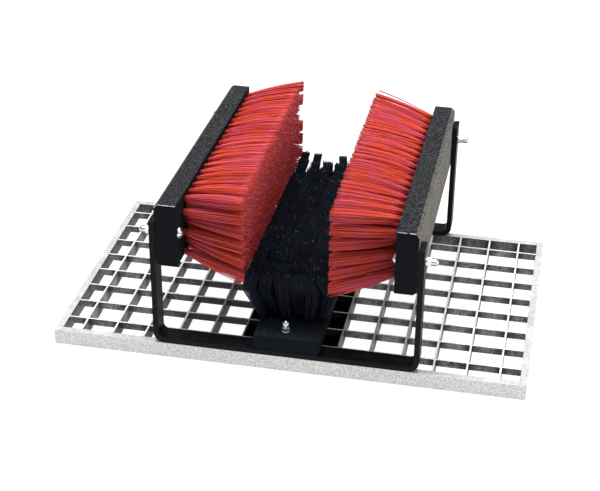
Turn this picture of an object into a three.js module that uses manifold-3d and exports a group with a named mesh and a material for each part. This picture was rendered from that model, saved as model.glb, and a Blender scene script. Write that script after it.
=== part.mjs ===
// Boot cleaning machine: two side brushes and a sole brush, bolted between two U brackets of
// black flat bar that stand on a galvanised grating.
// Millimetres. +X is right, +Y runs away from the front and +Z is up. z = 0 is the underside of
// the grating, and x = y = 0 is the middle of the whole machine, brush tips included.
import * as THREE from "three";
import { mergeVertices } from "three/addons/utils/BufferGeometryUtils.js";
import Module from "manifold-3d";

const wasm = await Module();
wasm.setup();

// Driving dimensions

const grating = {
  length: 488,
  depth: 290,
  height: 17,
  wall: 2,
  edgeWidth: 7.3,
  pitch: 33.3,
  bar: 2,
  bearingBars: 14,
  crossBars: 8,
  crossBarHeight: 8,
  slotPlay: 0.1,
};

const strip = { width: 20, thickness: 5.5, bend: 6 };

// Where each bracket starts, how tall its legs are and where their inner faces are. The rear one
// stands on the rear edge and overhangs it, a little further right than the front one.
const brackets = {
  front: { start: -145, legHeight: 140, left: -131.1, right: 131.1 },
  rear: { start: 136, legHeight: 138.4, left: -127.4, right: 132 },
};

const board = { length: 300, width: 68, sideThickness: 22.5, soleThickness: 17, chamfer: 3.8 };

const field = {
  rows: 6,
  rowPitch: 11,
  longRow: 19,
  firstTuft: -115.5,
  lastTuft: 140,
  offset: 2.2,
  bedWidth: 61,
  bedMargin: 6,
  bedThickness: 3,
  play: 0.1,
};

const tuftPitch = (field.lastTuft - field.firstTuft) / (field.longRow - 1);
const tuft = { root: 4.4, tip: 6, length: 64, embedded: 1.5 };

// Tips: how far they reach before and behind the middle of the board, how far they sag halfway along
// it and how much they rise from there to the rear, and how much wider apart they are than their roots
const sideReach = {
  left: { front: -131.5, rear: 142.5, sag: -0.4, rise: 4 },
  right: { front: -147.5, rear: 126, sag: -7.3, rise: 2.3 },
};
const sideFan = 1.6;
const soleReach = { front: -131, rear: 141, fan: 1.345 };

// The outermost rows of the sole brush lean out as far as the elbow and then stand upright
const elbow = { out: 37.6, height: 35, shareOfLean: 0.55, extra: 0.8, tipSize: 5.5, length: 61.5 };

const roundSides = 20;
const domeSteps = 5;
const bolt = { radius: 2.5, hole: 2.8, headRadius: 6, headHeight: 4.6, hexAcross: 8, hexHeight: 3.5 };
const washer = { radius: 5, hole: 2.7, thickness: 1.1 };
const capNut = { across: 8, hexHeight: 4, domeRadius: 3.65, height: 11.2, boreDepth: 8.2 };
const threadInNut = 7.2;
const clearOfBolt = 10.5;
const reachEase = 0.15;

const clamp = { width: 24, thickness: 2.5, reach: 33, play: 0.1 };

// Heights of the side bolts above the grating, and the sole bolts' places
const boltHeights = { left: { front: 126.1, rear: 124.4 }, right: { front: 123.4, rear: 120.6 } };
const soleBolt = { x: -1, front: -131, rear: 150.6 };
const soleBoardX = 2;
const boardGap = 0.4;
const washerGap = 0.2;

// Materials

function finish(color, roughness, metalness) {
  return new THREE.MeshStandardMaterial({ color, roughness, metalness, flatShading: true });
}

const zinc = finish(0xb4b8b8, 0.45, 0.9);
const brightZinc = finish(0xd8dadc, 0.25, 1);
const blackPaint = finish(0x17181a, 0.5, 0.1);
const blackBoard = finish(0x26272a, 0.75, 0);
const redBristle = finish(0xd8392c, 0.5, 0);
const blackBristle = finish(0x141417, 0.5, 0);

// Geometry helpers

const turns = {
  // A drawing of (y, z) pushed out along +X
  alongX: new THREE.Matrix4().makeBasis(axis(0, 1, 0), axis(0, 0, 1), axis(1, 0, 0)),
  // A drawing of (x, z) pushed out along -Y
  alongY: new THREE.Matrix4().makeBasis(axis(1, 0, 0), axis(0, 0, 1), axis(0, -1, 0)),
};

function axis(x, y, z) {
  return new THREE.Vector3(x, y, z);
}

function outline(points) {
  return new THREE.Shape(points.map(([a, b]) => new THREE.Vector2(a, b)));
}

function extrude(shape, depth) {
  const geometry = new THREE.ExtrudeGeometry(shape, { depth, bevelEnabled: false, curveSegments: 6 });
  return geometry.translate(0, 0, -depth / 2);
}

function block(low, high) {
  const size = high.map((value, i) => value - low[i]);
  const centre = high.map((value, i) => (value + low[i]) / 2);
  return new THREE.BoxGeometry(...size).translate(...centre);
}

// A cylinder along x or z, from one end to the other, through the point given by the other two
function drill(along, radius, from, to, [a, b]) {
  const geometry = new THREE.CylinderGeometry(radius, radius, to - from, roundSides);
  const mid = (from + to) / 2;
  if (along === "x") return geometry.rotateZ(Math.PI / 2).translate(mid, a, b);
  return geometry.rotateX(Math.PI / 2).translate(a, b, mid);
}

function solid(geometry) {
  const bare = geometry.clone();
  bare.deleteAttribute("normal");
  bare.deleteAttribute("uv");
  const merged = mergeVertices(bare, 1e-4);
  return new wasm.Manifold(new wasm.Mesh({
    numProp: 3,
    vertProperties: new Float32Array(merged.attributes.position.array),
    triVerts: new Uint32Array(merged.index.array),
  }));
}

function geometryOf(body) {
  const mesh = body.getMesh();
  const geometry = new THREE.BufferGeometry();
  geometry.setAttribute("position", new THREE.BufferAttribute(mesh.vertProperties, 3));
  geometry.setIndex(new THREE.BufferAttribute(mesh.triVerts, 1));
  return geometry;
}

function cut(geometry, tools) {
  const body = tools.reduce((rest, tool) => rest.subtract(solid(tool)), solid(geometry));
  return geometryOf(body);
}

// The rig is measured from the middle of the grating, the machine from the middle of everything
const machine = new THREE.Group();
const rig = new THREE.Group();
machine.add(rig);

function add(name, geometry, material, parent = rig) {
  const mesh = new THREE.Mesh(geometry, material);
  mesh.name = name;
  parent.add(mesh);
  return mesh;
}

// Grating

const top = grating.height;

// A channel folded open side down, with both ends cut at 45 degrees, lying along X with its outer
// face to -Y
function edgeBar(length, distance) {
  const { wall, edgeWidth, height } = grating;
  const ceiling = height - wall;
  const section = outline([
    [0, 0], [wall, 0], [wall, ceiling], [edgeWidth - wall, ceiling],
    [edgeWidth - wall, 0], [edgeWidth, 0], [edgeWidth, height], [0, height],
  ]);
  const geometry = extrude(section, length);
  const position = geometry.attributes.position;
  for (let i = 0; i < position.count; i++) {
    const inset = position.getX(i);
    const reach = length / 2 - inset;
    position.setXYZ(i, Math.sign(position.getZ(i)) * reach, inset - distance, position.getY(i));
  }
  geometry.deleteAttribute("normal");
  return geometry;
}

const edges = [
  ["edge_front", grating.length, grating.depth / 2, 0],
  ["edge_right", grating.depth, grating.length / 2, 1],
  ["edge_rear", grating.length, grating.depth / 2, 2],
  ["edge_left", grating.depth, grating.length / 2, 3],
];
for (const [name, length, distance, quarter] of edges) {
  add(name, edgeBar(length, distance), zinc).rotation.z = quarter * Math.PI / 2;
}

// Where bar number i of a row of bars lies, the row being centred
function barPlace(i, count) {
  return (i - (count - 1) / 2) * grating.pitch;
}

// The outline of a bar that ends against the edges, with what is cut into its upper side
function barOutline(halfLength, bottom, upper) {
  const reach = halfLength - grating.edgeWidth;
  return outline([[reach, bottom], [reach, top], ...upper, [-reach, top], [-reach, bottom]]);
}

function slots() {
  const half = grating.bar / 2 + grating.slotPlay;
  const floor = top - grating.crossBarHeight - grating.slotPlay;
  const points = [];
  for (let i = grating.crossBars - 1; i >= 0; i--) {
    const y = barPlace(i, grating.crossBars);
    points.push([y + half, top], [y + half, floor], [y - half, floor], [y - half, top]);
  }
  return points;
}

const bearingOutline = barOutline(grating.depth / 2, 0, slots());
for (let i = 0; i < grating.bearingBars; i++) {
  const bar = extrude(bearingOutline, grating.bar).applyMatrix4(turns.alongX);
  add(`bearing_bar_${i + 1}`, bar, zinc).position.x = barPlace(i, grating.bearingBars);
}

const crossOutline = barOutline(grating.length / 2, top - grating.crossBarHeight, []);
for (let i = 0; i < grating.crossBars; i++) {
  const bar = extrude(crossOutline, grating.bar).applyMatrix4(turns.alongY);
  add(`cross_bar_${i + 1}`, bar, zinc).position.y = barPlace(i, grating.crossBars);
}

// U brackets

const stripTop = top + strip.thickness;
const sides = { left: -1, right: 1 };

function bracketOutline({ left, right, legHeight }) {
  const outer = strip.bend + strip.thickness;
  const legTop = top + legHeight;
  const quarter = Math.PI / 2;
  const shape = new THREE.Shape();
  shape.moveTo(left, legTop);
  shape.lineTo(left - strip.thickness, legTop);
  shape.absarc(left + strip.bend, top + outer, outer, 2 * quarter, 3 * quarter, false);
  shape.absarc(right - strip.bend, top + outer, outer, 3 * quarter, 4 * quarter, false);
  shape.lineTo(right + strip.thickness, legTop);
  shape.lineTo(right, legTop);
  shape.absarc(right - strip.bend, stripTop + strip.bend, strip.bend, 0, -quarter, true);
  shape.absarc(left + strip.bend, stripTop + strip.bend, strip.bend, -quarter, -2 * quarter, true);
  return shape;
}

function boltPlace(side, end) {
  const { start } = brackets[end];
  return axis(brackets[end][side], start + strip.width / 2, top + boltHeights[side][end]);
}

function bracket(end) {
  const place = brackets[end];
  const bar = extrude(bracketOutline(place), strip.width).applyMatrix4(turns.alongY);
  const holes = Object.keys(sides).map((side) => {
    const { x, y, z } = boltPlace(side, end);
    return drill("x", bolt.hole, x - 2 * strip.thickness, x + 2 * strip.thickness, [y, z]);
  });
  holes.push(drill("z", bolt.hole, top - 1, stripTop + 1, [soleBolt.x, soleBolt[end]]));
  return cut(bar.translate(0, place.start + strip.width / 2, 0), holes);
}

for (const end of Object.keys(brackets)) add(`${end}_bracket`, bracket(end), blackPaint);

// Brushes. Each is made in a frame of its own: a is across the board, y along it from halfway
// between its bolts, and n is the way its bristles point, from 0 on the board's back.

function brushFrame(front, rear, facing) {
  const along = rear.clone().sub(front).normalize();
  const out = facing.clone().addScaledVector(along, -facing.dot(along)).normalize();
  const across = along.clone().cross(out);
  const halfway = front.clone().add(rear).multiplyScalar(0.5);
  return new THREE.Matrix4().makeBasis(across, along, out).setPosition(halfway);
}

function sideBrush(name, down, stagger) {
  const inward = axis(-sides[name], 0, 0);
  const [front, rear] = ["front", "rear"].map((end) => boltPlace(name, end).addScaledVector(inward, boardGap));
  return {
    name,
    down,
    stagger,
    thickness: board.sideThickness,
    material: redBristle,
    frame: brushFrame(front, rear, inward),
    bolts: [-1, 1].map((way) => [0, way * front.distanceTo(rear) / 2]),
    tuft: sideTuft,
  };
}

const soleMiddle = (brackets.front.start + brackets.rear.start + strip.width) / 2;

// The stagger is how many pitches later every second row of tufts starts
const brushes = [
  sideBrush("left", 1, -0.5),
  sideBrush("right", -1, 0.5),
  {
    name: "sole",
    down: 0,
    stagger: 0.5,
    thickness: board.soleThickness,
    material: blackBristle,
    frame: new THREE.Matrix4().makeTranslation(soleBoardX, soleMiddle, stripTop),
    bolts: ["front", "rear"].map((end) => [soleBolt.x - soleBoardX, soleBolt[end] - soleMiddle]),
    tuft: soleTuft,
  },
];

function boltHoles(brush) {
  return brush.bolts.map((place) => drill("z", bolt.hole, -1, brush.thickness + 1, place));
}

// How far the field of tufts lies below the middle of a side board
function fieldMiddle(brush) {
  return field.offset * brush.down;
}

function bed(brush, play) {
  const half = field.bedWidth / 2 + play;
  const floor = brush.thickness - field.bedThickness - play;
  const open = play > 0 ? 1 : 0;
  const first = field.firstTuft + Math.min(brush.stagger, 0) * tuftPitch;
  return block(
    [fieldMiddle(brush) - half, first - field.bedMargin - play, floor],
    [fieldMiddle(brush) + half, field.lastTuft + field.bedMargin + play, brush.thickness + open],
  );
}

function brushBoard(brush) {
  const half = board.width / 2;
  const c = board.chamfer;
  const section = outline([
    [-half, c], [-half + c, 0], [half - c, 0], [half, c], [half, brush.thickness], [-half, brush.thickness],
  ]);
  const plank = extrude(section, board.length).applyMatrix4(turns.alongY);
  return cut(plank, [bed(brush, field.play), ...boltHoles(brush)]).applyMatrix4(brush.frame);
}

// Tufts

// Where a tuft ends along the board: straight out in the middle of its row, leaning out at the
// ends. The share runs from -1 at the row's first tuft to 1 at its last.
function tipAlong(share, reach) {
  const eased = share * (1 - reachEase) + share ** 3 * reachEase;
  return (reach.front + reach.rear) / 2 + eased * (reach.rear - reach.front) / 2;
}

// The points that a tuft runs through, from inside the board to its tip
function sideTuft(brush, a, y, share) {
  const root = brush.thickness - tuft.embedded;
  const reach = sideReach[brush.name];
  const tipA = fieldMiddle(brush) + (reach.sag - reach.rise * share) * brush.down + a * sideFan;
  return [
    [a + fieldMiddle(brush), y, root, tuft.root],
    [tipA, tipAlong(share, reach), brush.thickness + tuft.length, tuft.tip],
  ];
}

function soleTuft(brush, a, y, share) {
  const root = [a, y, brush.thickness - tuft.embedded, tuft.root];
  const tipA = a * soleReach.fan - soleBoardX;
  const tipY = tipAlong(share, soleReach);
  if (Math.abs(a) < 2 * field.rowPitch) return [root, [tipA, tipY, brush.thickness + tuft.length, elbow.tipSize]];
  const bendA = Math.sign(a) * elbow.out - soleBoardX;
  const bendY = y + elbow.shareOfLean * (tipY - y);
  return [
    root,
    [bendA, bendY, brush.thickness + elbow.height, tuft.root + elbow.extra],
    [tipA, tipY, brush.thickness + elbow.length, elbow.tipSize],
  ];
}

function rowOfTufts(brush, row) {
  const a = (row - (field.rows - 1) / 2) * field.rowPitch;
  const late = (row % 2) * brush.stagger;
  const last = field.longRow - 1 - (late > 0 ? 1 : 0);
  const tufts = [];
  for (let i = 0; i <= last; i++) {
    const y = field.firstTuft + (i + late) * tuftPitch;
    const fromBolts = brush.bolts.map(([holeA, holeY]) => Math.hypot(a + fieldMiddle(brush) - holeA, y - holeY));
    if (Math.min(...fromBolts) > clearOfBolt) tufts.push(brush.tuft(brush, a, y, 2 * i / last - 1));
  }
  return tufts;
}

// One closed shell for each tuft, with four sides, a floor and a tip, all in one geometry
function tuftShells(tufts) {
  const vertices = [];
  const triangles = [];
  for (const points of tufts) {
    const first = vertices.length / 3;
    for (const [a, y, n, size] of points) {
      const h = size / 2;
      vertices.push(a - h, y - h, n, a + h, y - h, n, a + h, y + h, n, a - h, y + h, n);
    }
    const last = first + 4 * (points.length - 1);
    triangles.push(first, first + 2, first + 1, first, first + 3, first + 2);
    for (let ring = first; ring < last; ring += 4) {
      for (let side = 0; side < 4; side++) {
        const next = (side + 1) % 4;
        triangles.push(ring + side, ring + next, ring + 4 + next, ring + side, ring + 4 + next, ring + 4 + side);
      }
    }
    triangles.push(last, last + 1, last + 2, last, last + 2, last + 3);
  }
  const geometry = new THREE.BufferGeometry();
  geometry.setAttribute("position", new THREE.Float32BufferAttribute(vertices, 3));
  geometry.setIndex(triangles);
  return geometry;
}

function bristles(brush) {
  const tufts = [];
  for (let row = 0; row < field.rows; row++) tufts.push(...rowOfTufts(brush, row));
  const backing = solid(bed(brush, 0));
  const drilled = boltHoles(brush).reduce((rest, hole) => rest.subtract(solid(hole)), backing);
  return geometryOf(drilled.add(solid(tuftShells(tufts)))).applyMatrix4(brush.frame);
}

for (const brush of brushes) {
  add(`${brush.name}_brush_board`, brushBoard(brush), blackBoard);
  add(`${brush.name}_bristles`, bristles(brush), brush.material);
}

// Fasteners. Each is drawn along +Y from the face it bears on, then stood along its own axis.

function turned(points) {
  return new THREE.LatheGeometry(points.map(([r, y]) => new THREE.Vector2(r, y)), roundSides);
}

function domedBolt(length) {
  const { radius, headRadius, headHeight } = bolt;
  const sphere = (headRadius ** 2 + headHeight ** 2) / (2 * headHeight);
  const rise = Math.asin(headRadius / sphere);
  const profile = [];
  for (let i = 0; i <= domeSteps; i++) {
    const angle = rise * i / domeSteps;
    profile.push([sphere * Math.sin(angle), sphere - headHeight - sphere * Math.cos(angle)]);
  }
  return turned([...profile, [radius, 0], [radius, length], [0, length]]);
}

function hexagon(across, from, to) {
  const radius = across / Math.sqrt(3);
  return new THREE.CylinderGeometry(radius, radius, to - from, 6).translate(0, (from + to) / 2, 0);
}

function hexBolt(length) {
  const shank = turned([[0, -1], [bolt.radius, -1], [bolt.radius, length], [0, length]]);
  const head = hexagon(bolt.hexAcross, -bolt.hexHeight, 0).rotateY(Math.PI / 6);
  return geometryOf(solid(head).add(solid(shank)));
}

function flatWasher() {
  const { radius, hole, thickness } = washer;
  return turned([[hole, 0], [radius, 0], [radius, thickness], [hole, thickness], [hole, 0]]);
}

function domedNut() {
  const { across, hexHeight, domeRadius, height, boreDepth } = capNut;
  const shoulder = height - domeRadius;
  const profile = [[0, 1], [domeRadius, 1], [domeRadius, shoulder]];
  for (let i = 1; i < domeSteps; i++) {
    const angle = Math.PI / 2 * i / domeSteps;
    profile.push([domeRadius * Math.cos(angle), shoulder + domeRadius * Math.sin(angle)]);
  }
  const dome = solid(turned([...profile, [0, height]]));
  const bore = solid(turned([[0, -1], [washer.hole, -1], [washer.hole, boreDepth], [0, boreDepth]]));
  return geometryOf(solid(hexagon(across, 0, hexHeight)).add(dome).subtract(bore));
}

// A bolt from its head's bearing face at `from`, through `grip`, into a washer and a cap nut
function boltUp(name, kind, from, direction, grip) {
  const stack = new THREE.Group();
  stack.position.copy(from);
  stack.quaternion.setFromUnitVectors(axis(0, 1, 0), direction);
  rig.add(stack);
  const beyond = grip + washer.thickness;
  add(`${name}_bolt`, kind(beyond + threadInNut), brightZinc, stack);
  add(`${name}_washer`, flatWasher(), brightZinc, stack).position.y = grip;
  add(`${name}_cap_nut`, domedNut(), brightZinc, stack).position.y = beyond;
}

const grips = {
  side: board.sideThickness + boardGap + strip.thickness + washerGap,
  sole: stripTop + board.soleThickness,
};
for (const side of Object.keys(sides)) {
  const { frame, bolts, thickness } = brushes.find((brush) => brush.name === side);
  const outward = axis(0, 0, -1).transformDirection(frame);
  Object.keys(brackets).forEach((end, i) => {
    const head = axis(...bolts[i], thickness).applyMatrix4(frame);
    boltUp(`${side}_${end}`, domedBolt, head, outward, grips.side);
  });
}

// The front sole bolt pulls a clamp up inside the grating, against the bracket and the first cross
// bar. The rear one passes behind the grating and holds the board to the bracket.
const clampTop = top - grating.crossBarHeight;
const clampUnder = clampTop - clamp.thickness;

function clampStrip() {
  const outer = -grating.depth / 2 + grating.edgeWidth + clamp.play;
  const lip = outer + clamp.thickness;
  const inner = -grating.depth / 2 + clamp.reach;
  const lipTop = top - clamp.play;
  const section = outline([
    [outer, clampUnder], [inner, clampUnder], [inner, clampTop], [lip, clampTop], [lip, lipTop], [outer, lipTop],
  ]);
  const bent = extrude(section, clamp.width).applyMatrix4(turns.alongX);
  return cut(bent, [drill("z", bolt.hole, clampUnder - 1, clampTop + 1, [soleBolt.x, soleBolt.front])]);
}

add("front_clamp", clampStrip(), zinc);
for (const [end, from] of [["front", clampUnder], ["rear", top]]) {
  const head = axis(soleBolt.x, soleBolt[end], from);
  boltUp(`sole_${end}`, hexBolt, head, axis(0, 0, 1), grips.sole - from);
}

// Centre the machine on its own bounds, brush tips included
const bounds = new THREE.Box3().setFromObject(machine);
machine.position.set(-(bounds.min.x + bounds.max.x) / 2, -(bounds.min.y + bounds.max.y) / 2, -bounds.min.z);

export default machine;
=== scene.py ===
# %% [markdown]
# This notebook dresses a boot cleaning machine: three stiff brushes held between two black flat-bar
# brackets, standing on a galvanised grating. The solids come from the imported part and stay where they
# are. What is added here is what the eye looks for: real bristles, edges that catch the light, and
# finishes with the grain, mottling and dust of the real thing.

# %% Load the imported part
import math

import bpy
import numpy as np
from mathutils import Matrix, Vector


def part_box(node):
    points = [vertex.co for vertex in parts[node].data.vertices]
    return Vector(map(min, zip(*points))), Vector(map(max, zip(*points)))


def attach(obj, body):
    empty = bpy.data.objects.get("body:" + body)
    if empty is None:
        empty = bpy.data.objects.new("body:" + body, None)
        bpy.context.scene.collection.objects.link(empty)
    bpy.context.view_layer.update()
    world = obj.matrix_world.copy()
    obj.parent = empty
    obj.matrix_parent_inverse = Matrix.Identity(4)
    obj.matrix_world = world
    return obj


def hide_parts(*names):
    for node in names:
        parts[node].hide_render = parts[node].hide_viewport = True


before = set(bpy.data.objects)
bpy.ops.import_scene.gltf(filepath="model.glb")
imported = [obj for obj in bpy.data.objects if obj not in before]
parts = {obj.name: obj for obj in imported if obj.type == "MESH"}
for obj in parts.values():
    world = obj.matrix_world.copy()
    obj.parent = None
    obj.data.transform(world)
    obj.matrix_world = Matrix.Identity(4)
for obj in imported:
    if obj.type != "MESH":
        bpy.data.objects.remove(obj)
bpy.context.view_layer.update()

# %% [markdown]
# Sizes of the machine are in millimetres, as a maker would say them, and are turned into metres where
# a mesh or a finish needs them. The brushes were set out from the middle of the grating, so one shift
# along y takes those places into the part's own frame.

# %% Units and the shift from the grating's middle
MM = 0.001
GRATING_HALF_DEPTH = 145.0
GRATING_TOP = 17.0
shift_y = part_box("edge_front")[0].y / MM + GRATING_HALF_DEPTH
print("the grating's middle lies at y =", round(shift_y, 3), "mm")

# %% [markdown]
# The camera stands to the right of the middle, about 1.6 m away, and looks down at 30 degrees. It
# could be aimed at a target by a constraint, but a slight roll would then be lost. So it is set by its
# place and three angles, as a photographer would read them off a tripod.

# %% Camera
CAMERA_PLACE = (251.99, -1339.66 + shift_y, 834.9 + GRATING_TOP)
CAMERA_YAW = -11.197
CAMERA_PITCH = 29.987
CAMERA_ROLL = 0.484
CAMERA_LENS = 87.523
SENSOR_WIDTH = 36.0


def camera_axes(yaw, pitch, roll):
    """Right, up and backward directions of a camera turned by yaw, tilted down by pitch, then rolled."""
    yaw, pitch, roll = (math.radians(angle) for angle in (yaw, pitch, roll))
    forward = Vector((math.sin(yaw) * math.cos(pitch), math.cos(yaw) * math.cos(pitch), -math.sin(pitch)))
    level = Vector((math.cos(yaw), -math.sin(yaw), 0))
    above = level.cross(forward)
    right = math.cos(roll) * level + math.sin(roll) * above
    up = -math.sin(roll) * level + math.cos(roll) * above
    return right, up, -forward


camera_data = bpy.data.cameras.new("camera")
camera_data.lens = CAMERA_LENS
camera_data.sensor_width = SENSOR_WIDTH
camera_data.sensor_fit = "HORIZONTAL"
camera = bpy.data.objects.new("camera", camera_data)
turn = Matrix(camera_axes(CAMERA_YAW, CAMERA_PITCH, CAMERA_ROLL)).transposed().to_4x4()
camera.matrix_world = Matrix.Translation(Vector(CAMERA_PLACE) * MM) @ turn
bpy.context.scene.collection.objects.link(camera)
bpy.context.scene.camera = camera
print("camera at", [round(value, 3) for value in camera.location])

# %% [markdown]
# A finish is a small recipe of shader nodes. They could be wired one by one, but the sums would be
# hard to read. So a value that changes over the surface is wrapped in the class Value, and
# 1 - mottling * 0.3 simply adds the Math nodes that it needs.

# %% Values that change over a surface
class Value:
    """A shader output that can be added, subtracted, multiplied and compared like a number."""

    def __init__(self, recipe, socket):
        self.recipe = recipe
        self.socket = socket

    def maths(self, operation, *values):
        return self.recipe.add("ShaderNodeMath", {"operation": operation}, dict(enumerate(values)))

    def __add__(self, other):
        return self.maths("ADD", self, other)

    def __sub__(self, other):
        return self.maths("SUBTRACT", self, other)

    def __mul__(self, other):
        return self.maths("MULTIPLY", self, other)

    def __radd__(self, other):
        return self.maths("ADD", other, self)

    def __rsub__(self, other):
        return self.maths("SUBTRACT", other, self)

    def __rmul__(self, other):
        return self.maths("MULTIPLY", other, self)

    def __abs__(self):
        return self.maths("ABSOLUTE", self)

    def larger(self, other):
        return self.maths("MAXIMUM", self, other)

    def fraction(self):
        """What is left of a value above the whole number below it."""
        return self.maths("FRACT", self)

    def between(self, low, high, start=0.0, end=1.0):
        """start below low, end above high, and even between them."""
        inputs = {"Value": self, "From Min": low, "From Max": high, "To Min": start, "To Max": end}
        return self.recipe.add("ShaderNodeMapRange", {"clamp": True}, inputs)

    def plateau(self, start, full, fading, end):
        """0 up to start, 1 from full to fading, 0 again from end, and even between them."""
        return self.between(start, full) * self.between(fading, end, 1.0, 0.0)


print("a value can be written as a sum, a product or a share between two limits")

# %% [markdown]
# Everything that isn't maths goes through one method, add. It takes a node's type, its settings, its
# inputs and which of its outputs is wanted, so a whole node fits in one line.

# %% Recipes of nodes
class Recipe:
    """A tree of shader nodes, with one method that adds any node."""

    def __init__(self, tree):
        self.tree = tree

    def add(self, kind, settings=None, inputs=None, output=0):
        node = self.tree.nodes.new(kind)
        for key, value in (settings or {}).items():
            setattr(node, key, value)
        for key, value in (inputs or {}).items():
            self.join(node.inputs[key], value)
        return Value(self, node.outputs[output])

    def join(self, socket, value):
        if isinstance(value, Value):
            self.tree.links.new(value.socket, socket)
        else:
            socket.default_value = value

    def split(self, vector):
        """The three numbers of a vector."""
        node = self.add("ShaderNodeSeparateXYZ", None, {0: vector}).socket.node
        return [Value(self, socket) for socket in node.outputs]


print("a recipe adds nodes and joins them")

# %% [markdown]
# The machine was shown cut out on white, so it stands on a wide white sheet. The sheet is staged: it is
# in the picture, but no piece of the part.

# %% White sheet to stand on
SHEET_HALF = 6.0
sheet_corners = [(x * SHEET_HALF, y * SHEET_HALF, 0) for x, y in ((-1, -1), (1, -1), (1, 1), (-1, 1))]
sheet_mesh = bpy.data.meshes.new("floor")
sheet_mesh.from_pydata(sheet_corners, [], [(0, 1, 2, 3)])
sheet = bpy.data.objects.new("floor", sheet_mesh)
bpy.context.scene.collection.objects.link(sheet)
print("the sheet is", 2 * SHEET_HALF, "m wide")

# %% [markdown]
# The light came from above: what looks up is bright, what stands upright is nearly black. One large
# soft light overhead does that, and a weak one from the right keeps the side faces readable. The
# surround could be a photographed studio, but a plain gradient is easier to steer: it is dim near the
# horizon, so that dark upright faces have nothing pale to mirror.

# %% Lights and surround
MIDDLE = Vector((0, 0, 0.08))
SKY_TINT = (0.86, 0.93, 1.0, 1.0)
SKY_HEIGHT = 0.9
HORIZON_STRENGTH = 0.14
SKY_STRENGTH = 0.6


def soft_light(name, place, size, power):
    """A square area light turned towards the part's middle, in metres and watts."""
    data = bpy.data.lights.new(name, "AREA")
    data.size = size
    data.energy = power
    light = bpy.data.objects.new(name, data)
    light.location = place
    light.rotation_euler = (MIDDLE - Vector(place)).to_track_quat("-Z", "Y").to_euler()
    bpy.context.scene.collection.objects.link(light)


soft_light("overhead", place=(-0.1, 0.3, 1.7), size=1.2, power=44)
soft_light("from_right", place=(1.5, -0.3, 0.8), size=0.8, power=7)

world = bpy.data.worlds.new("studio")
world.use_nodes = True
surround = Recipe(world.node_tree)
climb = surround.split(surround.add("ShaderNodeTexCoord", output="Generated"))[2]
backdrop = world.node_tree.nodes["Background"]
backdrop.inputs["Color"].default_value = SKY_TINT
surround.join(backdrop.inputs["Strength"], climb.between(0.0, SKY_HEIGHT, HORIZON_STRENGTH, SKY_STRENGTH))
bpy.context.scene.world = world
bpy.context.scene.view_settings.view_transform = "Standard"
print("2 lights and a surround that brightens upwards")

# %% [markdown]
# Every finish starts from the Principled shader. A surface is told apart by its place in the part's own
# frame and by the way it faces: dust and painted sheen lie on what looks up, wear and painted highlights
# sit on rounded edges, where the direction lies between two of the axes, and painted shade lies by
# place. Asking the surface itself, and not laying an image on it, keeps the finish right from every
# side.

# %% One finish, with its own questions about the surface
EDGE_START, EDGE_FULL = 0.05, 0.2


class Finish(Recipe):
    """One material, with methods that ask where a point lies and which way it faces."""

    def __init__(self, name):
        self.material = bpy.data.materials.new(name)
        self.material.use_nodes = True
        super().__init__(self.material.node_tree)
        self.shader = self.tree.nodes["Principled BSDF"]

    def place(self):
        """The point on the surface in the part's own frame, in metres."""
        return self.add("ShaderNodeTexCoord", output="Object")

    def facing(self):
        """The surface's direction as three numbers."""
        return self.split(self.add("ShaderNodeNewGeometry", output="Normal"))

    def edges(self):
        """1 on rounded edges of a square-built piece, 0 on its flat faces."""
        x, y, z = (abs(value) for value in self.facing())
        return (1.0 - x.larger(y).larger(z)).between(EDGE_START, EDGE_FULL)

    def shaded(self, across, along):
        """Painted shade: 1 inside four borders in x and four in y, in mm, as plateau takes them."""
        x, y, z = self.split(self.place())
        inside_x = x.plateau(*(border * MM for border in across))
        return inside_x * y.plateau(*(border * MM for border in along))

    def noise(self, grains_per_metre, detail=2.0, roughness=0.5, stretch=None):
        place = self.place()
        if stretch:
            place = self.add("ShaderNodeVectorMath", {"operation": "MULTIPLY"}, {0: place, 1: stretch})
        inputs = {"Vector": place, "Scale": grains_per_metre, "Detail": detail, "Roughness": roughness}
        return self.add("ShaderNodeTexNoise", None, inputs)

    def mix(self, share, first, second):
        """Two colours, mixed by share. Mix keeps them colours, where a Math node would turn them grey."""
        first, second = ((*c, 1.0) if isinstance(c, tuple) else c for c in (first, second))
        return self.add("ShaderNodeMix", {"data_type": "RGBA"}, {0: share, 6: first, 7: second}, output=2)

    def bump(self, height, distance, strength):
        inputs = {"Height": height, "Distance": distance, "Strength": strength}
        self.wear(Normal=self.add("ShaderNodeBump", None, inputs))

    def wear(self, **inputs):
        """Sets the shader's own inputs. Underscores stand for spaces."""
        for key, value in inputs.items():
            self.join(self.shader.inputs[key.replace("_", " ")], value)


print("a finish can be asked for its place, facing, edges, shade and noise")

# %% [markdown]
# The sheet glows a little by itself, like a lightbox, because the ground is white even between the
# grating's bars. Beneath the sole brush a painted shade stands in for the light that doesn't arrive
# there: the sheet neither glows nor reflects much, and it is black. The painted shade reaches to the
# bearing bars on both sides of the board, one and a half cells from the middle, and runs from just
# behind the front bracket to beneath the rear one.

# %% Glow of the sheet and the painted shade on it
BAR_THICKNESS = 2.0
CELL = (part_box("bearing_bar_2")[0].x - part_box("bearing_bar_1")[0].x) / MM
SHADE_SIDE = 1.5 * CELL - BAR_THICKNESS / 2
SHADE_START = -128.0
SHADE_END = 140.0
BLUR = 2.0
SHEET_SHADE = {
    "across": (-SHADE_SIDE - BLUR, -SHADE_SIDE, SHADE_SIDE, SHADE_SIDE + BLUR),
    "along": (SHADE_START - BLUR, SHADE_START, SHADE_END, SHADE_END + BLUR),
}
# The second colour and the second glow are those of the painted shade.
SHEET_COLOURS = ((0.2, 0.2, 0.2), (0.01, 0.01, 0.012))
SHEET_GLOWS = ((0.98, 0.99, 1.0), (0.0, 0.0, 0.0))

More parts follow.
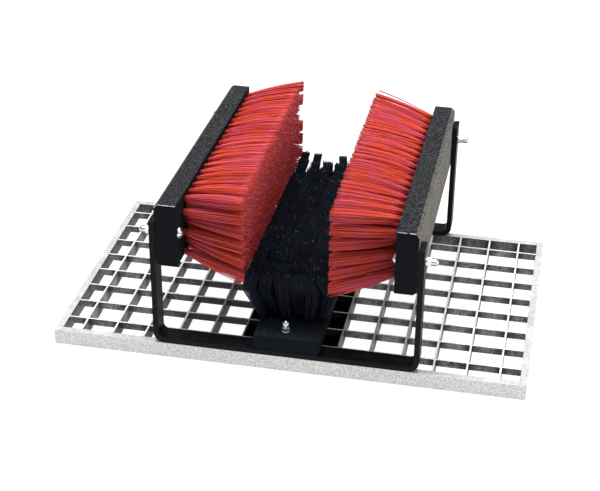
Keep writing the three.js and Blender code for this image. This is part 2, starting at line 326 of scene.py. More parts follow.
white_sheet = Finish("white_sheet")
in_shade = white_sheet.shaded(**SHEET_SHADE)
white_sheet.wear(Base_Color=white_sheet.mix(in_shade, *SHEET_COLOURS), Roughness=0.9)
white_sheet.wear(Emission_Color=white_sheet.mix(in_shade, *SHEET_GLOWS))
white_sheet.wear(Emission_Strength=0.97, Specular_IOR_Level=0.0)
sheet_mesh.materials.append(white_sheet.material)
print("the shade is", round(2 * SHADE_SIDE, 1), "mm wide")

# %% [markdown]
# Hot-dip galvanising freezes into a mottled grey skin with a fine grit. Tops and outer faces are clean
# and nearly white. Upright faces inside the cells get a dark brownish film, partly dirt and partly
# painted shade for the cells, which is why the same bars look white from above and dark from the side.
# Where two bars meet the film is painted darker, as shade in the corner. Two noises make the mottling,
# a fine one for the grit and a wide one for its clouds. Left of the middle the film is painted a darker
# brown as the shade of the brushes, and it thins out with the distance from there. Tops, outer faces and
# films are each given as a dark and a light tone, and a range says between which two values something
# comes or goes.

# %% Mottling and dirt of galvanised steel
GRATING_LOW, GRATING_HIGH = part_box("edge_left")[0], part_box("edge_right")[1]
GRATING_HALF_WIDTH = (GRATING_HIGH.x - GRATING_LOW.x) / 2
WALL = 1.8
GRIT_GRAINS = 800
CLOUD_GRAINS = 60
GRIT_SHARE = 0.7
MOTTLING_RANGE = (0.41, 0.58)
# The brushes' painted shade: a dark brown film, full near its middle and gone at the range's end.
BRUSH_SHADE_MIDDLE = -50.0
BRUSH_SHADE_RANGE = (50.0, 140.0)
BRUSH_SHADE_FILM = ((0.02, 0.019, 0.016), (0.09, 0.085, 0.07))
# Where two bars meet, the film is painted darker as shade.
CORNER_RANGE = (0.06, 0.3)
CORNER_SHADE = 0.15


def mottled(zinc):
    """The grit of the zinc's skin, and grit and clouds together."""
    grit = zinc.noise(GRIT_GRAINS, detail=2.0, roughness=0.75)
    clouds = zinc.noise(CLOUD_GRAINS, detail=3.0, roughness=0.65)
    return grit, (grit * GRIT_SHARE + clouds * (1 - GRIT_SHARE)).between(*MOTTLING_RANGE)


def outer_face(zinc):
    """1 within half a wall of the grating's outer sides, 0 further in."""
    x, y, z = zinc.split(zinc.place())
    past_side = (abs(x) - GRATING_HALF_WIDTH).larger(abs(y - shift_y * MM) - GRATING_HALF_DEPTH * MM)
    return past_side.between(-WALL * MM, -WALL * MM / 2)


def dirt_and_shade(zinc, mottling, film_and_shade, across):
    """The film on a bar across or along, painted darker where bars meet and in the brushes' shade."""
    x, y, z = zinc.split(zinc.place())
    clear_of_brush_shade = abs(x - BRUSH_SHADE_MIDDLE * MM).between(*(distance * MM for distance in BRUSH_SHADE_RANGE))
    cells_along = (x if across else y - shift_y * MM) * (1 / (CELL * MM))
    from_corner = abs(cells_along.fraction() - 0.5).between(*CORNER_RANGE, CORNER_SHADE, 1.0)
    return zinc.mix(clear_of_brush_shade, zinc.mix(mottling, *BRUSH_SHADE_FILM), zinc.mix(mottling * from_corner, *film_and_shade))


print("cells of", round(CELL, 1), "mm between bars of", BAR_THICKNESS, "mm")

# %% [markdown]
# The rim, the bearing bars and the cross bars differ in how clean they are and in how much of the painted
# shade beside the sole board lies on their tops, so one function makes all three. To the left the shade
# fades across the last bearing bar that it reaches, and to the right it ends halfway across the last one.
# Within it the tops of the rim and the cross bars are painted white, as painted light. The rounded top
# edges at the rear and left of a bar are painted darker than its top, as shade, and those at the front
# and right are painted bright, as a highlight.

# %% Galvanised steel
OUTER = ((0.5, 0.47, 0.445), (0.9, 0.875, 0.85))
RIM_TOP = ((0.42, 0.42, 0.425), (0.68, 0.68, 0.685))
BAR_TOP = ((0.6, 0.6, 0.605), (0.95, 0.95, 0.955))
RIM_FILM_AND_SHADE = ((0.025, 0.025, 0.022), (0.24, 0.235, 0.22))
BEARING_FILM_AND_SHADE = ((0.055, 0.052, 0.045), (0.46, 0.45, 0.42))
CROSS_FILM_AND_SHADE = ((0.045, 0.043, 0.038), (0.45, 0.44, 0.41))
ZINC_EDGE_HIGHLIGHT = (0.9, 0.9, 0.91)
WHITE = (1.0, 1.0, 1.0)
DEEP_SHADE = (0.004, 0.005, 0.006)
LYING_RANGE = (0.5, 0.85)
OUTER_RANGE = (0.36, 0.6)
FAR_RANGE = (0.2, 0.5)
RISING_RANGE = (0.15, 0.3)
UPRIGHT_SHADE = 0.85
BAR_SHADE = {
    "across": (-SHADE_SIDE - BAR_THICKNESS, -SHADE_SIDE,
               SHADE_SIDE + BAR_THICKNESS / 4, SHADE_SIDE + BAR_THICKNESS / 2),
    "along": (SHADE_START, SHADE_START + BLUR, SHADE_END - BLUR, SHADE_END),
}


def galvanised(name, top, film_and_shade, rear_edge, shaded_top, across):
    """rear_edge is the colour of the far top edges' painted shade, shaded_top how dark tops get in it."""
    zinc = Finish(name)
    grit, mottling = mottled(zinc)
    sideways, rearwards, upwards = zinc.facing()
    lying = upwards.between(*LYING_RANGE)
    # Upright faces inside get the film, partly dirt and partly painted shade.
    clean_and_lit = outer_face(zinc).larger(lying)
    shown = zinc.mix(lying, zinc.mix(grit.between(*OUTER_RANGE), *OUTER), zinc.mix(mottling, *top))
    colour = zinc.mix(clean_and_lit, dirt_and_shade(zinc, mottling, film_and_shade, across), shown)
    # Painted shade on top edges turned to the rear and left, a painted highlight on the other edges.
    turned_away = rearwards.larger(0.0 - sideways).between(*FAR_RANGE)
    far = turned_away * upwards.between(*RISING_RANGE) * (1 - lying)
    near = zinc.edges() * (1 - far) * (0.35 + clean_and_lit * 0.5)
    colour = zinc.mix(far, zinc.mix(near, colour, ZINC_EDGE_HIGHLIGHT), rear_edge)
    # Painted shade beside the sole board; tops inside it are painted white as painted light.
    in_shade = zinc.shaded(**BAR_SHADE)
    colour = zinc.mix(in_shade * lying * (1 - shaded_top), colour, WHITE)
    darkness = in_shade * (shaded_top + (1 - lying) * (UPRIGHT_SHADE - shaded_top))
    zinc.wear(Base_Color=zinc.mix(darkness, colour, DEEP_SHADE), Metallic=clean_and_lit * 0.35)
    zinc.wear(Roughness=0.4 + mottling * 0.15 + (1 - clean_and_lit) * 0.2, Specular_IOR_Level=0.25)
    zinc.bump(mottling, distance=0.0002, strength=0.25)
    return zinc


edge_zinc = galvanised("galvanised_edge", RIM_TOP, RIM_FILM_AND_SHADE,
                       rear_edge=(0.4, 0.4, 0.41), shaded_top=0.0, across=True)
bar_zinc = galvanised("galvanised_bearing_bar", BAR_TOP, BEARING_FILM_AND_SHADE,
                      rear_edge=(0.1, 0.1, 0.1), shaded_top=UPRIGHT_SHADE, across=False)
cross_zinc = galvanised("galvanised_cross_bar", BAR_TOP, CROSS_FILM_AND_SHADE,
                        rear_edge=(0.06, 0.06, 0.06), shaded_top=0.0, across=True)
print("three kinds of zinc finish")

# %% [markdown]
# The brackets are powder coated: a thick satin black skin with the slight dimples of orange peel, a
# little dust on the upward faces, and edges painted lighter, partly as rubs and partly as a painted
# highlight. A low bump gives the dimples, because they are far too small to model.

# %% Black powder coat
PEEL_GRAINS = 700
DUST_GRAINS = 120
COAT = (0.005, 0.0065, 0.009)
DUST_AND_EDGE_HIGHLIGHT = (0.05, 0.052, 0.052)
DUST_RANGE = (0.5, 0.72)
DUSTED_FACING = (0.4, 0.9)

powder = Finish("black_powder_coat")
peel = powder.noise(PEEL_GRAINS, detail=1.0, roughness=0.4)
specks = powder.noise(DUST_GRAINS, detail=5.0, roughness=0.7).between(*DUST_RANGE)
dust = specks * powder.facing()[2].between(*DUSTED_FACING)
# Dust, and edges painted lighter, partly as rubs and partly as a painted highlight.
powder.wear(Base_Color=powder.mix(dust * 0.3 + powder.edges() * 0.25, COAT, DUST_AND_EDGE_HIGHLIGHT))
powder.wear(Roughness=0.38 + peel * 0.1 + dust * 0.3, Specular_IOR_Level=0.09)
powder.bump(peel, distance=0.00012, strength=0.4)
print("finish", powder.material.name)

# %% [markdown]
# The brush boards are moulded from black plastic with a sand-like grain. On the faces that look up, grey
# specks are painted on the grain as the sheen of the light; on the sole board, in the brushes' shade,
# they are painted darker. The backs of the side boards are lighter and brownish in patches: they are the
# faces whose direction and place point the same way, out to the left or right. Along the front edge on
# top runs a thin pale painted highlight, only faint on the sole board in the shade.

# %% Moulded boards
SAND_GRAINS = 560
SMEAR_GRAINS = 280
PLASTIC = (0.006, 0.0075, 0.0105)
GRAIN_RANGE = (0.47, 0.6)
LIT_FACING = (0.15, 0.6)
BACK_RANGE = (0.06, 0.12)
SMEAR_RANGE = (0.43, 0.58)
LEAST_SMEAR = 0.3
LINE_FACING = (0.25, 0.45)
HIGHLIGHT_BREAKS = (0.36, 0.5)


def moulded(name, speck, back, line):
    """speck is the grains' painted sheen, back the outer patches, line the front edge's painted highlight."""
    board = Finish(name)
    sand = board.noise(SAND_GRAINS, detail=1.5, roughness=0.8)
    smears = board.noise(SMEAR_GRAINS, detail=3.0, roughness=0.75)
    sideways, rearwards, upwards = board.facing()
    x, y, z = board.split(board.place())
    # Grey specks painted on the grain of upward faces, as sheen.
    lit = upwards.between(*LIT_FACING)
    tone = board.mix(sand.between(*GRAIN_RANGE) * (0.06 + lit * 0.94), PLASTIC, speck)
    outward = (x * sideways).between(*BACK_RANGE)
    back_patches = (sand * 0.35 + smears * 0.65).between(*SMEAR_RANGE, LEAST_SMEAR, 1.0)
    tone = board.mix(outward * back_patches, tone, back)
    # A thin painted highlight along the front top edge, broken by the grain.
    front_edge = upwards.between(*LINE_FACING) * (0.0 - rearwards).between(*LINE_FACING)
    board.wear(Base_Color=board.mix(front_edge * sand.between(*HIGHLIGHT_BREAKS), tone, line))
    board.wear(Roughness=0.75 + sand * 0.2, Specular_IOR_Level=0.08)
    board.bump(sand, distance=0.0003, strength=0.6)
    return board


side_board = moulded("moulded_side_board", speck=(0.053, 0.053, 0.052),
                     back=(0.27, 0.245, 0.215), line=(0.8, 0.8, 0.84))
# The sole board lies in the brushes' shade: its sheen and highlight are painted darker.
sole_board = moulded("moulded_sole_board", speck=(0.026, 0.032, 0.048),
                     back=(0.016, 0.017, 0.02), line=(0.05, 0.05, 0.06))
print("finishes", side_board.material.name, "and", sole_board.material.name)

# %% [markdown]
# Bolts, washers and cap nuts are bright zinc plate: nearly a mirror and a little blotchy. Wherever
# they face down they are painted dark and dull, as shade. A plain mirror would do from afar, but its
# blotches are what tells plating from polished steel.

# %% Bright plated fasteners
STREAK_GRAINS = 900
PLATE = ((0.6, 0.6, 0.62), (1.0, 1.0, 1.0))
UNDERSIDE_SHADE = (0.03, 0.03, 0.035)
STREAK_RANGE = (0.35, 0.6)
SHADED_FACING = (-0.05, 0.35)

plated = Finish("bright_zinc_plate")
streaks = plated.noise(STREAK_GRAINS, detail=2.0, roughness=0.7).between(*STREAK_RANGE)
# Faces that look down are painted dark, as shade.
underside_shade = (0.0 - plated.facing()[2]).between(*SHADED_FACING)
plated.wear(Base_Color=plated.mix(underside_shade * 0.92, plated.mix(streaks, *PLATE), UNDERSIDE_SHADE))
plated.wear(Metallic=1.0 - underside_shade * 0.6, Roughness=0.16 + streaks * 0.1)
plated.bump(streaks, distance=0.00005, strength=0.3)
print("finish", plated.material.name)

# %% [markdown]
# The bristles are dyed plastic filament. A strand's points all carry a number for its own shade, and
# each point one for how far along the strand it lies. The dye drifts between a warm and a cool shade in
# broad patches, which are drawn out sideways as the strands of the side brushes lie, and mirrored to
# fall where they suit. Towards the cut ends the strands are painted deeper, by an amount that differs
# from strand to strand, partly as the shade on the brushes' trimmed faces. A few cut ends are painted
# bright, as glints.

# %% Bristle finishes
PATCH_GRAINS = 60
PATCH_STRETCH = (-0.4, 1, 1)
PATCH_RANGE = (0.46, 0.6)
CUT_END = (0.95, 1.0)
SHINING_END = (0.96, 0.99)
SHINING_SHADE = (0.98, 0.99)


def filament(name, deep, warm, cool, glint, roughness, gloss):
    """deep, warm and cool are three shades of the dye, and glint is the colour of painted glints."""
    dyed = Finish(name)
    shade = dyed.add("ShaderNodeAttribute", {"attribute_name": "shade"}, output="Fac")
    along = dyed.add("ShaderNodeAttribute", {"attribute_name": "along"}, output="Fac")
    drift = dyed.noise(PATCH_GRAINS, detail=2.0, roughness=0.6, stretch=PATCH_STRETCH)
    patches = drift.between(*PATCH_RANGE)
    body = dyed.mix(patches * 0.65 + shade * 0.35, warm, cool)
    # Deeper at random strand by strand, and towards the cut ends partly as painted shade.
    deeper = (1 - shade) * (0.36 + along.between(*CUT_END) * 0.55)
    # A few cut ends are painted as glints.
    painted_glints = along.between(*SHINING_END) * shade.between(*SHINING_SHADE)
    dyed.wear(Base_Color=dyed.mix(painted_glints, dyed.mix(deeper, body, deep), glint))
    dyed.wear(Roughness=roughness + shade * 0.12, Specular_IOR_Level=gloss)
    return dyed


RED = {"deep": (0.2, 0.004, 0.022), "warm": (0.84, 0.088, 0.022),
       "cool": (0.76, 0.095, 0.15), "glint": (0.8, 0.12, 0.12)}
BLACK = {"deep": (0.001, 0.001, 0.002), "warm": (0.005, 0.0075, 0.014),
         "cool": (0.011, 0.016, 0.028), "glint": (0.12, 0.14, 0.15)}
red_filament = filament("red_filament", **RED, roughness=0.42, gloss=0.32)
black_filament = filament("black_filament", **BLACK, roughness=0.4, gloss=0.16)
print("finishes:", [finish.name for finish in bpy.data.materials])

# %% [markdown]
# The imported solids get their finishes. A weld joins the corners that the file format split, and a small
# bevel rounds each sharp edge, because no real edge is perfectly sharp and the thin bright line that
# a bevel catches is what makes metal look like metal. Both stay modifiers, so the solids under them
# aren't changed.

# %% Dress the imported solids
WELD_DISTANCE = 0.01
SHARP_ANGLE = 40


def dress(name, finish, edge):
    """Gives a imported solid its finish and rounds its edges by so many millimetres."""
    solid = parts[name]
    solid.data.materials.clear()
    solid.data.materials.append(finish.material)
    weld = solid.modifiers.new("weld", "WELD")
    weld.merge_threshold = WELD_DISTANCE * MM
    bevel = solid.modifiers.new("edge", "BEVEL")
    bevel.width = edge * MM
    bevel.segments = 2
    bevel.limit_method = "ANGLE"
    bevel.angle_limit = math.radians(SHARP_ANGLE)
    bevel.harden_normals = True


def finish_of(name):
    """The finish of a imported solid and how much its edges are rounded, in millimetres."""
    if name.startswith("edge_"):
        return edge_zinc, 0.5
    if name.startswith("cross_bar"):
        return cross_zinc, 0.4
    if name.endswith("_bracket"):
        return powder, 0.5
    if name.endswith("_brush_board"):
        return (sole_board if name.startswith("sole") else side_board), 0.8
    if name.endswith(("_bolt", "_washer", "_cap_nut")):
        return plated, 0.15
    return bar_zinc, 0.3


to_dress = [name for name in sorted(parts) if not name.endswith("_bristles")]
for name in to_dress:
    dress(name, *finish_of(name))
print("dressed", len(to_dress), "solids")

# %% [markdown]
# A brush is set out in a frame of its own: a runs across the board, y along it from halfway between
# the brackets, and the third number goes out from the board's back, the way the bristles point. The
# field of tufts lies a little below the middle of a side board. The boards stand slightly skewed, so
# each side brush takes its direction from the places of its two bolts.

# %% Brush frames
STRIP_THICKNESS = 5.5
STRIP_WIDTH = 20.0
STRIP_TOP = GRATING_TOP + STRIP_THICKNESS
BOARD_GAP = 0.4
SIDE_THICKNESS = 22.5
SOLE_THICKNESS = 17.0
FIELD_OFFSET = 2.2
BRACKET_START = {"front": -145.0, "rear": 136.0}
LEG_INSIDE = {"left": {"front": -131.1, "rear": -127.4}, "right": {"front": 131.1, "rear": 132.0}}
BOLT_HEIGHT = {"left": {"front": 126.1, "rear": 124.4}, "right": {"front": 123.4, "rear": 120.6}}
SOLE_BOARD_X = 2.0
SOLE_BOLT = {"x": -1.0, "front": -131.0, "rear": 150.6}


def unit(vector):
    return vector / np.linalg.norm(vector)


class Brush:
    """Where a brush stands, and a way to take its own coordinates into the part's frame.

    down is the sign of a that points down, or 0 on the flat brush, and stagger is how much later every
    second row of tufts starts, in pitches.
    """

    def __init__(self, name, origin, across, along, out, thickness, down, bolts, stagger):
        self.name = name
        self.origin = np.array(origin, float)
        self.axes = np.array([across, along, out], float)
        self.thickness = thickness
        self.down = down
        self.offset = FIELD_OFFSET * down
        self.bolts = bolts
        self.stagger = stagger

    def to_part(self, points):
        """Brush coordinates in millimetres to the part's frame in metres."""
        return (self.origin + np.asarray(points) @ self.axes) * MM


def side_brush(name, inward, down, stagger):
    """A brush bolted between the legs of both brackets; inward is the sign of x that it points to."""
    ends = {}
    for end in ("front", "rear"):
        y = BRACKET_START[end] + STRIP_WIDTH / 2 + shift_y
        z = GRATING_TOP + BOLT_HEIGHT[name][end]
        ends[end] = np.array([LEG_INSIDE[name][end] + inward * BOARD_GAP, y, z])
    along = unit(ends["rear"] - ends["front"])
    facing = np.array([inward, 0.0, 0.0])
    out = unit(facing - along * facing.dot(along))
    reach = np.linalg.norm(ends["rear"] - ends["front"]) / 2
    origin = (ends["front"] + ends["rear"]) / 2
    bolts = [(0, -reach), (0, reach)]
    return Brush(name, origin, np.cross(along, out), along, out, SIDE_THICKNESS, down, bolts, stagger)


def sole_brush():
    """The brush that lies flat on the bottom bars of both brackets."""
    middle = (BRACKET_START["front"] + BRACKET_START["rear"] + STRIP_WIDTH) / 2
    origin = (SOLE_BOARD_X, middle + shift_y, STRIP_TOP)
    bolts = [(SOLE_BOLT["x"] - SOLE_BOARD_X, SOLE_BOLT[end] - middle) for end in ("front", "rear")]
    return Brush("sole", origin, (1, 0, 0), (0, 1, 0), (0, 0, 1), SOLE_THICKNESS, 0, bolts, 0.5)


left = side_brush("left", inward=1, down=1, stagger=-0.5)
right = side_brush("right", inward=-1, down=-1, stagger=0.5)
sole = sole_brush()
brushes = [left, right, sole]
for brush in brushes:
    print(brush.name, "brush stands at", np.round(brush.origin, 1), "mm")

# %% [markdown]
# The holes for the tufts lie in six rows. Every second row is staggered by half a pitch, so that each
# hole sits between two of the next row. A tuft is left out where a bolt passes. An array modifier could
# repeat a row, but it couldn't skip the holes at the bolts, so a plain loop lists them.

# %% Holes for the tufts
ROWS = 6
ROW_PITCH = 11.0
LONG_ROW = 19
FIRST_TUFT = -115.5
LAST_TUFT = 140.0
CLEAR_OF_BOLT = 10.5


def tuft_holes(brush):
    """(row, share of the row, a, y) of every hole that no bolt takes.

    The share runs from -1 at the row's first tuft to 1 at its last.
    """
    pitch = (LAST_TUFT - FIRST_TUFT) / (LONG_ROW - 1)
    for row in range(ROWS):
        a = (row - (ROWS - 1) / 2) * ROW_PITCH
        late = (row % 2) * brush.stagger
        last = LONG_ROW - 1 - (late > 0)
        for i in range(last + 1):
            y = FIRST_TUFT + (i + late) * pitch
            nearest = min(math.hypot(a + brush.offset - bolt_a, y - bolt_y) for bolt_a, bolt_y in brush.bolts)
            if nearest > CLEAR_OF_BOLT:
                yield row, 2 * i / last - 1, a, y


for brush in brushes:
    brush.holes = list(tuft_holes(brush))
    print(brush.name, len(brush.holes), "tufts")

# %% [markdown]
# A strand is a thin four-sided rod, swept along a slightly bowed line. Blender's hair could grow it,
# but a strand that is to be kept in a file has to be a mesh. Thousands of them go into one mesh, so the
# points of all strands are worked out at once as arrays rather than strand by strand.

# %% Sweep rods along many paths at once
SIDES = 4
LEAN = np.array([0.31, 0.83, 0.46])


def sweep(paths, widths, twist):
    """Vertices and faces of rods along paths[strand, ring, xyz], with a width for each ring.

    LEAN is a direction that no strand takes, from which each ring's two own directions are found.
    """
    count, rings, _ = paths.shape
    tangent = np.gradient(paths, axis=1)
    tangent /= np.linalg.norm(tangent, axis=2, keepdims=True)
    first = np.cross(tangent, LEAN)
    first /= np.linalg.norm(first, axis=2, keepdims=True)
    second = np.cross(tangent, first)
    angles = twist[:, None] + np.arange(SIDES) * 2 * math.pi / SIDES
    cos, sin = np.cos(angles)[:, None, :, None], np.sin(angles)[:, None, :, None]
    radius = (widths / 2)[:, :, None, None]
    corners = paths[:, :, None] + radius * (cos * first[:, :, None] + sin * second[:, :, None])
    base = (np.arange(count) * rings * SIDES)[:, None, None]
    ring = (np.arange(rings - 1) * SIDES)[None, :, None]
    side = np.arange(SIDES)
    after = (side + 1) % SIDES
    start = base + ring
    quads = np.stack([start + side, start + after, start + SIDES + after, start + SIDES + side], axis=-1)
    root_caps = base[:, :, 0] + side[::-1]
    tip_caps = base[:, :, 0] + (rings - 1) * SIDES + side
    faces = np.concatenate([quads.reshape(-1, SIDES), root_caps, tip_caps])
    return corners.reshape(-1, 3), faces


print("a strand is a rod with", SIDES, "sides")

# %% [markdown]
# What is made from arrays becomes a mesh object that rides on the part's one body. A number can be
# stored with each of its points, for the bristle finish to read.

# %% Meshes from arrays
def mesh_from(name, vertices, faces, finish, smooth):
    mesh = bpy.data.meshes.new(name)
    mesh.from_pydata(vertices.tolist(), [], faces.tolist())
    mesh.materials.append(finish.material)
    mesh.polygons.foreach_set("use_smooth", np.full(len(mesh.polygons), smooth))
    piece = bpy.data.objects.new(name, mesh)
    bpy.context.scene.collection.objects.link(piece)
    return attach(piece, "root")


def number_points(piece, name, values):
    """Stores one number for each vertex, for the finish to read."""
    attribute = piece.data.attributes.new(name, "FLOAT", "POINT")
    attribute.data.foreach_set("value", np.ascontiguousarray(values, np.float32))


print("meshes ride on the body root")

# %% [markdown]
# Within a tuft the strands leave a round hole side by side and open into a cone, quickly at first and
# then nearly parallel, until the tufts touch and their ends form one even nap. So the strands of a tuft
# are laid out on a jittered, rounded square at the tips and drawn together into a disc at the root,
# which keeps them from crossing. All are trimmed to one plane, as a brush maker trims them. Lengths are
# in millimetres, and a scatter is the usual distance from the even place.

# %% Lay the strands out
STRANDS_ACROSS = 8
RINGS = 7
ROOT_DEPTH = 1.5
BEND_AT = 2 / 3
JITTER = 0.38
SQUARENESS = 0.5
TUFT_SCATTER = 0.5
STRAND_SCATTER = (0.35, 0.35, 0.4)
TUFT_BOW = 0.6
STRAND_BOW = 0.3
SIDEWAYS = (1, 1, 0)


def bundle_layout(rng, tufts):
    """Each strand's place in its tuft, on a disc for the root and a rounded square for the tip."""
    steps = (np.arange(STRANDS_ACROSS) + 0.5) / STRANDS_ACROSS * 2 - 1
    grid = np.stack(np.meshgrid(steps, steps, indexing="ij"), axis=-1).reshape(-1, 2)
    square = grid + rng.uniform(-JITTER, JITTER, (tufts, *grid.shape)) * 2 / STRANDS_ACROSS
    u, v = square[..., 0], square[..., 1]
    disc = np.stack([u * np.sqrt(1 - v**2 / 2), v * np.sqrt(1 - u**2 / 2)], axis=-1)
    return disc, disc * (1 - SQUARENESS) + square * SQUARENESS


def flat(pairs):
    """Adds a height of 0 to pairs."""
    return np.concatenate([pairs, np.zeros_like(pairs[..., :1])], axis=-1)


def strand_paths(brush, shape, rng, hole_radius, opening):
    """paths[tuft, strand, ring, xyz] of a brush, with the tufts' tips and their layout at the root.

    shape(brush, row, share, a, y) gives a tuft's tip, how far it bends outwards and its spread. opening
    is the share of the spread at the curve's control point: the larger, the sooner a tuft opens.
    """
    shapes = [shape(brush, *hole) for hole in brush.holes]
    tips, bends, spreads = (np.array(column, float) for column in zip(*shapes))
    root_height = brush.thickness - ROOT_DEPTH
    roots = np.array([[a + brush.offset, y, root_height] for row, share, a, y in brush.holes])
    disc, square = bundle_layout(rng, len(roots))
    tips += rng.normal(0, TUFT_SCATTER, tips.shape) * SIDEWAYS
    fan = flat(square * spreads[:, None])
    start = roots[:, None] + flat(disc * hole_radius)
    end = tips[:, None] + fan + rng.normal(0, 1, fan.shape) * STRAND_SCATTER
    bow = rng.normal(0, TUFT_BOW, tips.shape)[:, None] + rng.normal(0, STRAND_BOW, fan.shape)
    control = (roots + tips)[:, None] / 2 + fan * opening + bow * SIDEWAYS
    s = np.linspace(0, 1, RINGS)[:, None]
    paths = start[:, :, None] * (1 - s) ** 2 + control[:, :, None] * 2 * s * (1 - s) + end[:, :, None] * s**2
    paths += bends[:, None, None] * np.minimum(s / BEND_AT, (1 - s) / (1 - BEND_AT))
    return paths, tips, disc


print(STRANDS_ACROSS**2, "strands to a tuft,", RINGS, "rings to a strand")

# %% [markdown]
# A few strands come loose in use. They aren't extra ones: each is among the outermost strands of its
# tuft on the side that it sticks out to, and is bent from its root to where its tip should be.

# %% Grow the bristles
TAPER = 0.85
ROW_WEIGHT = 10


def pull_out(brush, paths, tips, disc, strays):
    """Bends single strands out, given by the row and share of their tuft and their tip from its tip."""
    rows = np.array([row for row, share, a, y in brush.holes])
    shares = np.array([share for row, share, a, y in brush.holes])
    s = np.linspace(0, 1, RINGS)[:, None]
    for number, (row, share, *from_tuft) in enumerate(strays):
        tuft = np.argmin(abs(rows - row) * ROW_WEIGHT + abs(shares - share))
        strand = np.argsort(disc[tuft] @ from_tuft[:2])[-1 - number]
        paths[tuft, strand] += (tips[tuft] + from_tuft - paths[tuft, strand, -1]) * s


def strand_mesh(brush, half, paths, shade, twist, width, finish):
    """One mesh from the strands of some rows, with each point's shade and place along its strand."""
    paths = paths.reshape(-1, RINGS, 3)
    widths = np.broadcast_to(np.linspace(width, width * TAPER, RINGS), paths.shape[:2])
    vertices, faces = sweep(paths, widths, twist.ravel())
    piece = mesh_from(f"{brush.name}_strands_{half}", brush.to_part(vertices), faces, finish, True)
    number_points(piece, "shade", np.repeat(shade.ravel(), RINGS * SIDES))
    number_points(piece, "along", np.tile(np.repeat(np.linspace(0, 1, RINGS), SIDES), len(paths)))
    print(piece.name, len(paths), "strands,", len(piece.data.polygons), "faces")
    return piece


def grow(brush, shape, finish, slot, seed, width, hole_radius, opening, strays):
    """Replaces a brush's solid bristles by strands, in two pieces: rows 0 to 2 and rows 3 to 5."""
    rng = np.random.default_rng(seed)
    paths, tips, disc = strand_paths(brush, shape, rng, hole_radius, opening)
    shade = rng.uniform(0, 1, paths.shape[:2])
    twist = rng.uniform(0, math.pi, paths.shape[:2])
    pull_out(brush, paths, tips, disc, strays)
    rows = np.array([row for row, share, a, y in brush.holes])
    for half, chosen in (("lower_rows", rows < ROWS / 2), ("upper_rows", rows >= ROWS / 2)):
        piece = strand_mesh(brush, half, paths[chosen], shade[chosen], twist[chosen], width, finish)
        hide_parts(f"{brush.name}_bristles")


print("a strand narrows to", TAPER, "of its width")

# %% [markdown]
# A tuft's tip lies further out than its root, and use has bent each side brush its own way. The side
# brushes' lengths say how far the tips reach to the front and rear, how far they sag halfway along
# (less than 0 where they stand up), how much they rise from there to the rear, and how far the last
# tuft leans away from the others. The tufts at the ends are narrower, as nothing presses them flat.

# %% The side brushes' tufts
TUFT_LENGTH = 64.0
REACH_EASE = 0.15
SIDE_REACH = {
    "left": {"front": -131.5, "rear": 140.0, "sag": -0.4, "rise": 4.0, "last": 3.5},
    "right": {"front": -147.5, "rear": 126.0, "sag": -7.3, "rise": 2.3, "last": 0.0},
}
SIDE_FAN = 1.45
WIDENING = 0.03
END_SHARPNESS = 8
LAST_SHARPNESS = 30
SIDE_SPREAD = np.array([8.7, 8.0])
FRONT_SPREAD = np.array([5.4, 5.6])
BACK_SPREAD = np.array([6.2, 4.0])


def tip_along(share, reach):
    """Where a tuft ends: straight out in the middle of its row, leaning out at the row's ends."""
    eased = share * (1 - REACH_EASE) + share**3 * REACH_EASE
    return (reach["front"] + reach["rear"]) / 2 + eased * (reach["rear"] - reach["front"]) / 2


def near_end(share, sharpness):
    """1 at the end of a row, less and less towards its middle, the faster the sharper."""
    return max(share, 0) ** sharpness


def side_shape(brush, row, share, a, y):
    reach = SIDE_REACH[brush.name]
    sag = (FIELD_OFFSET + reach["sag"] - reach["rise"] * share) * brush.down
    tip_a = sag + a * (SIDE_FAN + WIDENING * share**2)
    tip_y = tip_along(share, reach) + reach["last"] * near_end(share, LAST_SHARPNESS)
    at_end = near_end(abs(share), END_SHARPNESS)
    end_spread = FRONT_SPREAD if share < 0 else BACK_SPREAD
    spread = SIDE_SPREAD * (1 - at_end) + end_spread * at_end
    return [tip_a, tip_y, brush.thickness + TUFT_LENGTH], [0, 0, 0], spread


RED_STRANDS = {"shape": side_shape, "finish": red_filament, "slot": "side_bristle",
               "width": 0.85, "hole_radius": 2.8, "opening": 1.35}
SPRAY = [(0, -1, -7.5 - i, 3 * i - 3, -2 * i) for i in range(5)]
LEFT_STRAYS = [(5, -1, 8, -2, -1), (3, -1, 2, -8, 0)]
RIGHT_STRAYS = [(5, 1, 6.6, 4.6, -2), (5, 1, 6.9, 4.8, -3), *SPRAY]
grow(left, seed=11, strays=LEFT_STRAYS, **RED_STRANDS)
grow(right, seed=23, strays=RIGHT_STRAYS, **RED_STRANDS)

# %% [markdown]
# On the sole brush the boots have pressed the rows outwards, and they stand up again further out. So
# they bend two thirds of the way up, the outermost rows most of all. Those rows are also a little
# longer than the worn ones between them. The last tufts at the rear stay narrow.

# %% The sole brush's tufts
SOLE_REACH = {"front": -131.0, "rear": 141.0}
SOLE_FAN = 1.27
OUTER_ROW_TIP = 34.7
OUTER_ROW_TRIM = 0.8
WORN_TRIM = 2.0
ELBOW_OUT = 41.5
REAR_SHARPNESS = 5
SOLE_SPREAD = np.array([7.3, 7.6])
REAR_SPREAD = np.array([4.4, 2.6])


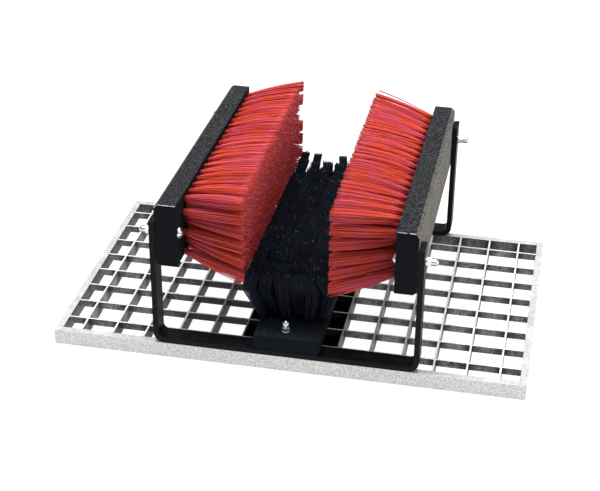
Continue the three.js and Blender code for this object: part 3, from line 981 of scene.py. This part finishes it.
def sole_shape(brush, row, share, a, y):
    outer = row in (0, ROWS - 1)
    tip_a = math.copysign(OUTER_ROW_TIP, a) if outer else a * SOLE_FAN
    length = TUFT_LENGTH - (OUTER_ROW_TRIM if outer else WORN_TRIM)
    tip = np.array([tip_a - SOLE_BOARD_X, tip_along(share, SOLE_REACH), brush.thickness + length])
    outermost = (ROWS - 1) / 2 * ROW_PITCH
    straight = a + (tip[0] - a) * BEND_AT
    bend = a / outermost * ELBOW_OUT - SOLE_BOARD_X * BEND_AT - straight
    at_rear = near_end(share, REAR_SHARPNESS)
    return tip, [bend, 0, 0], SOLE_SPREAD * (1 - at_rear) + REAR_SPREAD * at_rear


SOLE_STRAYS = [(0, 1, 2, 1, 4), (2, 1, -5, 1, 3), (3, 1, 3, 1, 3)]
grow(sole, sole_shape, black_filament, "sole_bristle", seed=37,
     width=1.0, hole_radius=3.6, opening=1.15, strays=SOLE_STRAYS)

# %% [markdown]
# The board's face is drilled for the tufts. A flat plate closes the pocket that the solid bristles
# filled, and every hole gets the low lip that a drill pushes up around it. The holes could be cut out
# with a boolean, but they are full of strands, so the lips are all that shows of them.

# %% Blocks and turned rings
def block(low, high):
    """Corners and faces of a box."""
    corners = [[x, y, z] for z in (low[2], high[2])
               for y in (low[1], high[1]) for x in (low[0], high[0])]
    faces = [[0, 2, 3, 1], [4, 5, 7, 6], [0, 1, 5, 4], [2, 6, 7, 3], [0, 4, 6, 2], [1, 3, 7, 5]]
    return np.array(corners), np.array(faces)


def lathe(profile, sides):
    """A closed ring turned from a closed profile of (radius, height)."""
    steps = len(profile)
    angles = np.arange(sides) * 2 * math.pi / sides
    points = np.array([[[r * math.cos(t), r * math.sin(t), h] for r, h in profile] for t in angles])
    index = np.arange(sides * steps).reshape(sides, steps)
    turned = np.roll(index, -1, axis=0)
    faces = np.stack([index, turned, np.roll(turned, -1, axis=1), np.roll(index, -1, axis=1)], axis=-1)
    return points.reshape(-1, 3), faces.reshape(-1, 4)


def join_arrays(pieces):
    """Several (vertices, faces) pairs as one."""
    offsets = np.cumsum([0] + [len(vertices) for vertices, _ in pieces[:-1]])
    vertices = np.concatenate([vertices for vertices, _ in pieces])
    return vertices, np.concatenate([faces + offset for offset, (_, faces) in zip(offsets, pieces)])


print("a block has", len(block((0, 0, 0), (1, 1, 1))[1]), "faces")

# %% [markdown]
# The lip's profile is turned once and copied to every hole, and the plate and all lips of a board make
# one piece.

# %% Drilled bed of each board
BED_WIDTH = 61.0
BED_MARGIN = 6.0
BED_THICKNESS = 3.0
LIP = [(2.2, -1.0), (2.2, 0.25), (2.5, 0.4), (2.9, 0.0), (2.9, -1.0)]
LIP_SIDES = 14


def drilled_bed(brush):
    face = brush.thickness
    first = min(y for row, share, a, y in brush.holes)
    plate = block([brush.offset - BED_WIDTH / 2, first - BED_MARGIN, face - BED_THICKNESS],
                  [brush.offset + BED_WIDTH / 2, LAST_TUFT + BED_MARGIN, face])
    ring, ring_faces = lathe(LIP, LIP_SIDES)
    lips = [(ring + [a + brush.offset, y, face], ring_faces) for row, share, a, y in brush.holes]
    vertices, faces = join_arrays([plate, *lips])
    finish = sole_board if brush is sole else side_board
    piece = mesh_from(f"{brush.name}_drilled_bed", brush.to_part(vertices), faces, finish, False)
    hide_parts(f"{brush.name}_bristles")
    return piece


for brush in brushes:
    print(drilled_bed(brush).name, "made")
